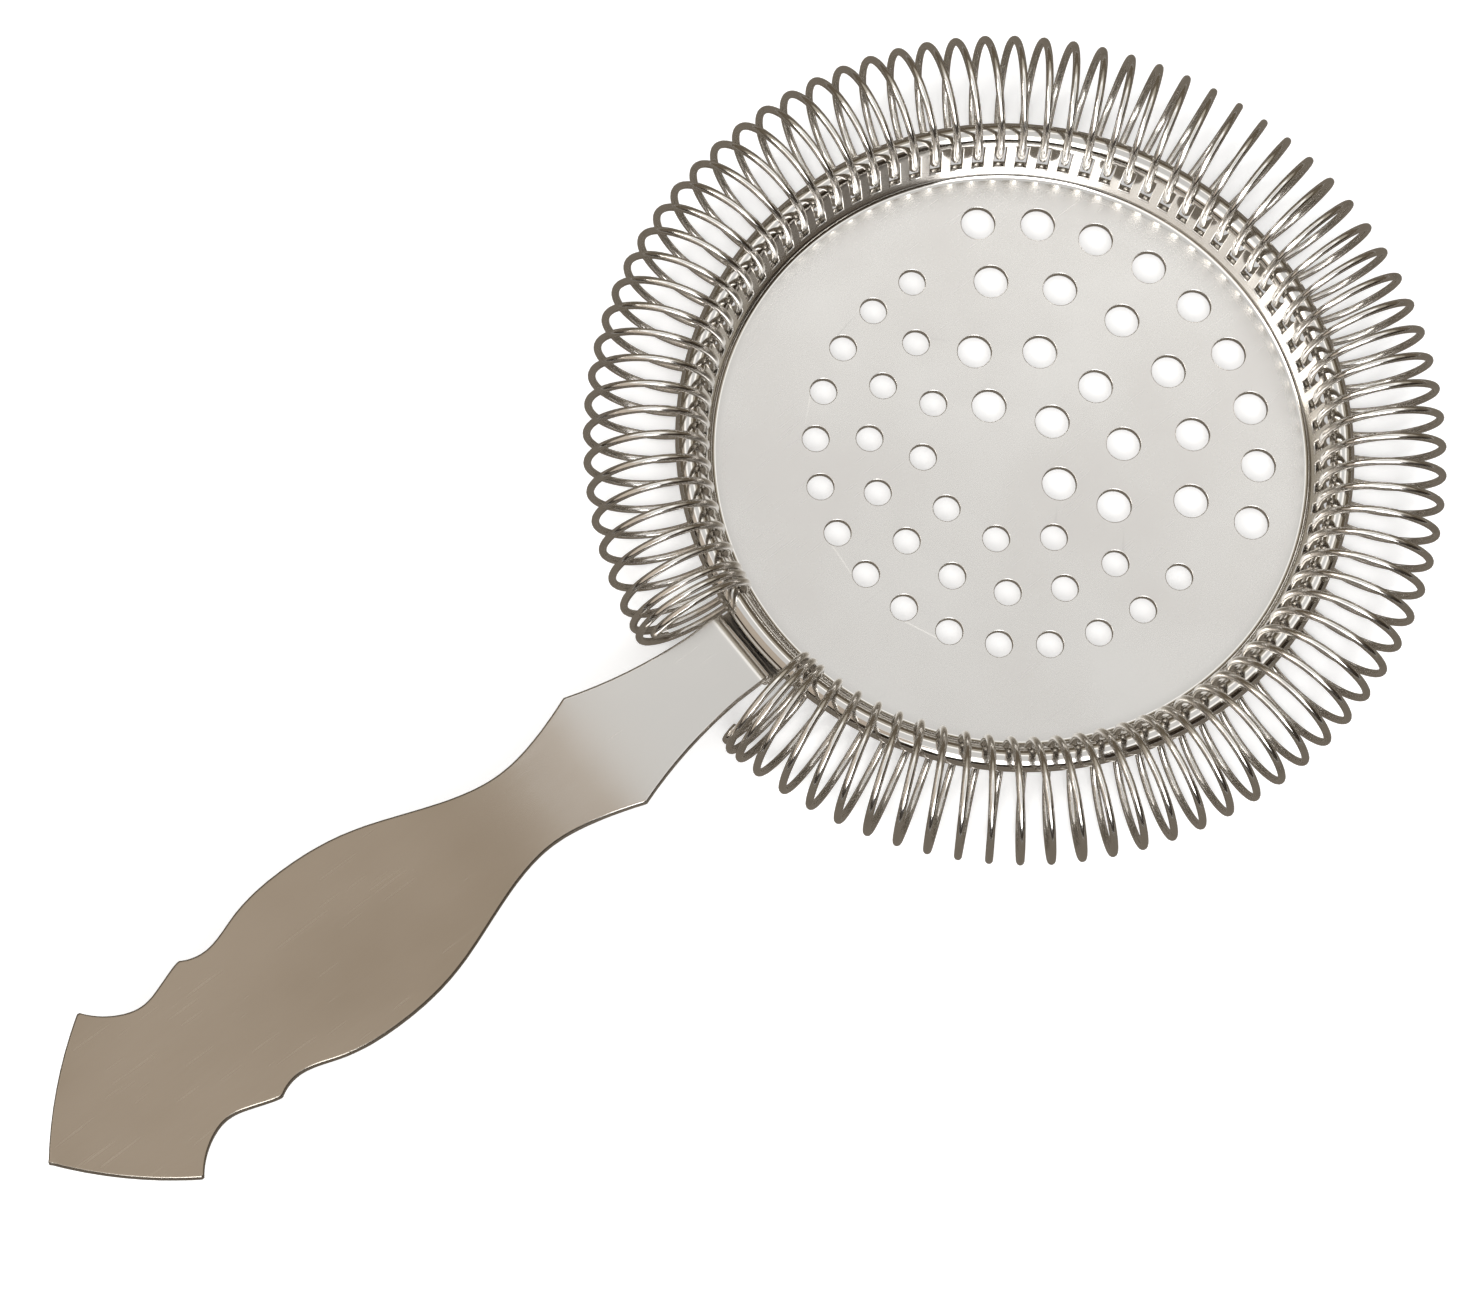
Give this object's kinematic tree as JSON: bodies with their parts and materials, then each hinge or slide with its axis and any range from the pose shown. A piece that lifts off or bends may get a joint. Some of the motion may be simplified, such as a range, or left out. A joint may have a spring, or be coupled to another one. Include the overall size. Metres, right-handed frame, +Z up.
{
  "type": "hawthorne strainer",
  "caption": "Hawthorne cocktail strainer: dished perforated steel plate with a rolled rim, a long coil spring threaded round it, and a flat scalloped handle.",
  "frame": {"origin": "centre of the underside of the plate's flat floor", "axes": "+Z up through the plate, +X away from the handle, Y across the handle"},
  "size_m": [0.1959, 0.105, 0.0154],
  "materials": {
    "plate": "satin stainless sheet with a bright rolled rim",
    "handle": "fine satin stainless strip",
    "weld": "dull weld seam",
    "spring_wire": "bright drawn spring wire"
  },
  "bodies": {
    "strainer": {"strainer_plate": "plate", "handle": "handle", "handle_weld": "weld"},
    "spring_section_01": {"spring_arc_01": "spring_wire"},
    "spring_section_02": {"spring_arc_02": "spring_wire"},
    "spring_section_03": {"spring_arc_03": "spring_wire"},
    "spring_section_04": {"spring_arc_04": "spring_wire"},
    "spring_section_05": {"spring_arc_05": "spring_wire"},
    "spring_section_06": {"spring_arc_06": "spring_wire"},
    "spring_section_07": {"spring_arc_07": "spring_wire"},
    "spring_section_08": {"spring_arc_08": "spring_wire"},
    "spring_section_09": {"spring_arc_09": "spring_wire"},
    "spring_section_10": {"spring_arc_10": "spring_wire"},
    "spring_section_11": {"spring_arc_11": "spring_wire"},
    "spring_section_12": {"spring_arc_12": "spring_wire"},
    "spring_section_13": {"spring_arc_13": "spring_wire"},
    "spring_section_14": {"spring_arc_14": "spring_wire"},
    "spring_section_15": {"spring_arc_15": "spring_wire"},
    "spring_section_16": {"spring_arc_16": "spring_wire"},
    "spring_section_17": {"spring_arc_17": "spring_wire"},
    "spring_section_18": {"spring_arc_18": "spring_wire"},
    "spring_section_19": {"spring_arc_19": "spring_wire"},
    "spring_section_20": {"spring_arc_20": "spring_wire"},
    "spring_section_21": {"spring_arc_21": "spring_wire"}
  },
  "joints": [
    {"name": "press_01", "type": "slide", "parent": "strainer", "child": "spring_section_01", "axis": [0.9697, -0.2444, 0], "range_m": [0, 0.007], "stiffness_N_per_m": 150, "deforming": ["spring_arc_01"]},
    {"name": "press_02", "type": "slide", "parent": "strainer", "child": "spring_section_02", "axis": [0.8427, -0.5384, 0], "range_m": [0, 0.007], "stiffness_N_per_m": 150, "deforming": ["spring_arc_02"]},
    {"name": "press_03", "type": "slide", "parent": "strainer", "child": "spring_section_03", "axis": [0.6566, -0.7542, 0], "range_m": [0, 0.007], "stiffness_N_per_m": 150, "deforming": ["spring_arc_03"]},
    {"name": "press_04", "type": "slide", "parent": "strainer", "child": "spring_section_04", "axis": [0.4173, -0.9088, 0], "range_m": [0, 0.007], "stiffness_N_per_m": 150, "deforming": ["spring_arc_04"]},
    {"name": "press_05", "type": "slide", "parent": "strainer", "child": "spring_section_05", "axis": [0.1441, -0.9896, 0], "range_m": [0, 0.007], "stiffness_N_per_m": 150, "deforming": ["spring_arc_05"]},
    {"name": "press_06", "type": "slide", "parent": "strainer", "child": "spring_section_06", "axis": [-0.1409, -0.99, 0], "range_m": [0, 0.007], "stiffness_N_per_m": 150, "deforming": ["spring_arc_06"]},
    {"name": "press_07", "type": "slide", "parent": "strainer", "child": "spring_section_07", "axis": [-0.4143, -0.9101, 0], "range_m": [0, 0.007], "stiffness_N_per_m": 150, "deforming": ["spring_arc_07"]},
    {"name": "press_08", "type": "slide", "parent": "strainer", "child": "spring_section_08", "axis": [-0.6542, -0.7563, 0], "range_m": [0, 0.007], "stiffness_N_per_m": 150, "deforming": ["spring_arc_08"]},
    {"name": "press_09", "type": "slide", "parent": "strainer", "child": "spring_section_09", "axis": [-0.8409, -0.5411, 0], "range_m": [0, 0.007], "stiffness_N_per_m": 150, "deforming": ["spring_arc_09"]},
    {"name": "press_10", "type": "slide", "parent": "strainer", "child": "spring_section_10", "axis": [-0.9594, -0.282, 0], "range_m": [0, 0.007], "stiffness_N_per_m": 150, "deforming": ["spring_arc_10"]},
    {"name": "press_11", "type": "slide", "parent": "strainer", "child": "spring_section_11", "axis": [-1, 0, 0], "range_m": [0, 0.007], "stiffness_N_per_m": 150, "deforming": ["spring_arc_11"]},
    {"name": "press_12", "type": "slide", "parent": "strainer", "child": "spring_section_12", "axis": [-0.9594, 0.282, 0], "range_m": [0, 0.007], "stiffness_N_per_m": 150, "deforming": ["spring_arc_12"]},
    {"name": "press_13", "type": "slide", "parent": "strainer", "child": "spring_section_13", "axis": [-0.8409, 0.5411, 0], "range_m": [0, 0.007], "stiffness_N_per_m": 150, "deforming": ["spring_arc_13"]},
    {"name": "press_14", "type": "slide", "parent": "strainer", "child": "spring_section_14", "axis": [-0.6542, 0.7563, 0], "range_m": [0, 0.007], "stiffness_N_per_m": 150, "deforming": ["spring_arc_14"]},
    {"name": "press_15", "type": "slide", "parent": "strainer", "child": "spring_section_15", "axis": [-0.4143, 0.9101, 0], "range_m": [0, 0.007], "stiffness_N_per_m": 150, "deforming": ["spring_arc_15"]},
    {"name": "press_16", "type": "slide", "parent": "strainer", "child": "spring_section_16", "axis": [-0.1409, 0.99, 0], "range_m": [0, 0.007], "stiffness_N_per_m": 150, "deforming": ["spring_arc_16"]},
    {"name": "press_17", "type": "slide", "parent": "strainer", "child": "spring_section_17", "axis": [0.1441, 0.9896, 0], "range_m": [0, 0.007], "stiffness_N_per_m": 150, "deforming": ["spring_arc_17"]},
    {"name": "press_18", "type": "slide", "parent": "strainer", "child": "spring_section_18", "axis": [0.4173, 0.9088, 0], "range_m": [0, 0.007], "stiffness_N_per_m": 150, "deforming": ["spring_arc_18"]},
    {"name": "press_19", "type": "slide", "parent": "strainer", "child": "spring_section_19", "axis": [0.6566, 0.7542, 0], "range_m": [0, 0.007], "stiffness_N_per_m": 150, "deforming": ["spring_arc_19"]},
    {"name": "press_20", "type": "slide", "parent": "strainer", "child": "spring_section_20", "axis": [0.8427, 0.5384, 0], "range_m": [0, 0.007], "stiffness_N_per_m": 150, "deforming": ["spring_arc_20"]},
    {"name": "press_21", "type": "slide", "parent": "strainer", "child": "spring_section_21", "axis": [0.9697, 0.2444, 0], "range_m": [0, 0.007], "stiffness_N_per_m": 150, "deforming": ["spring_arc_21"]}
  ]
}
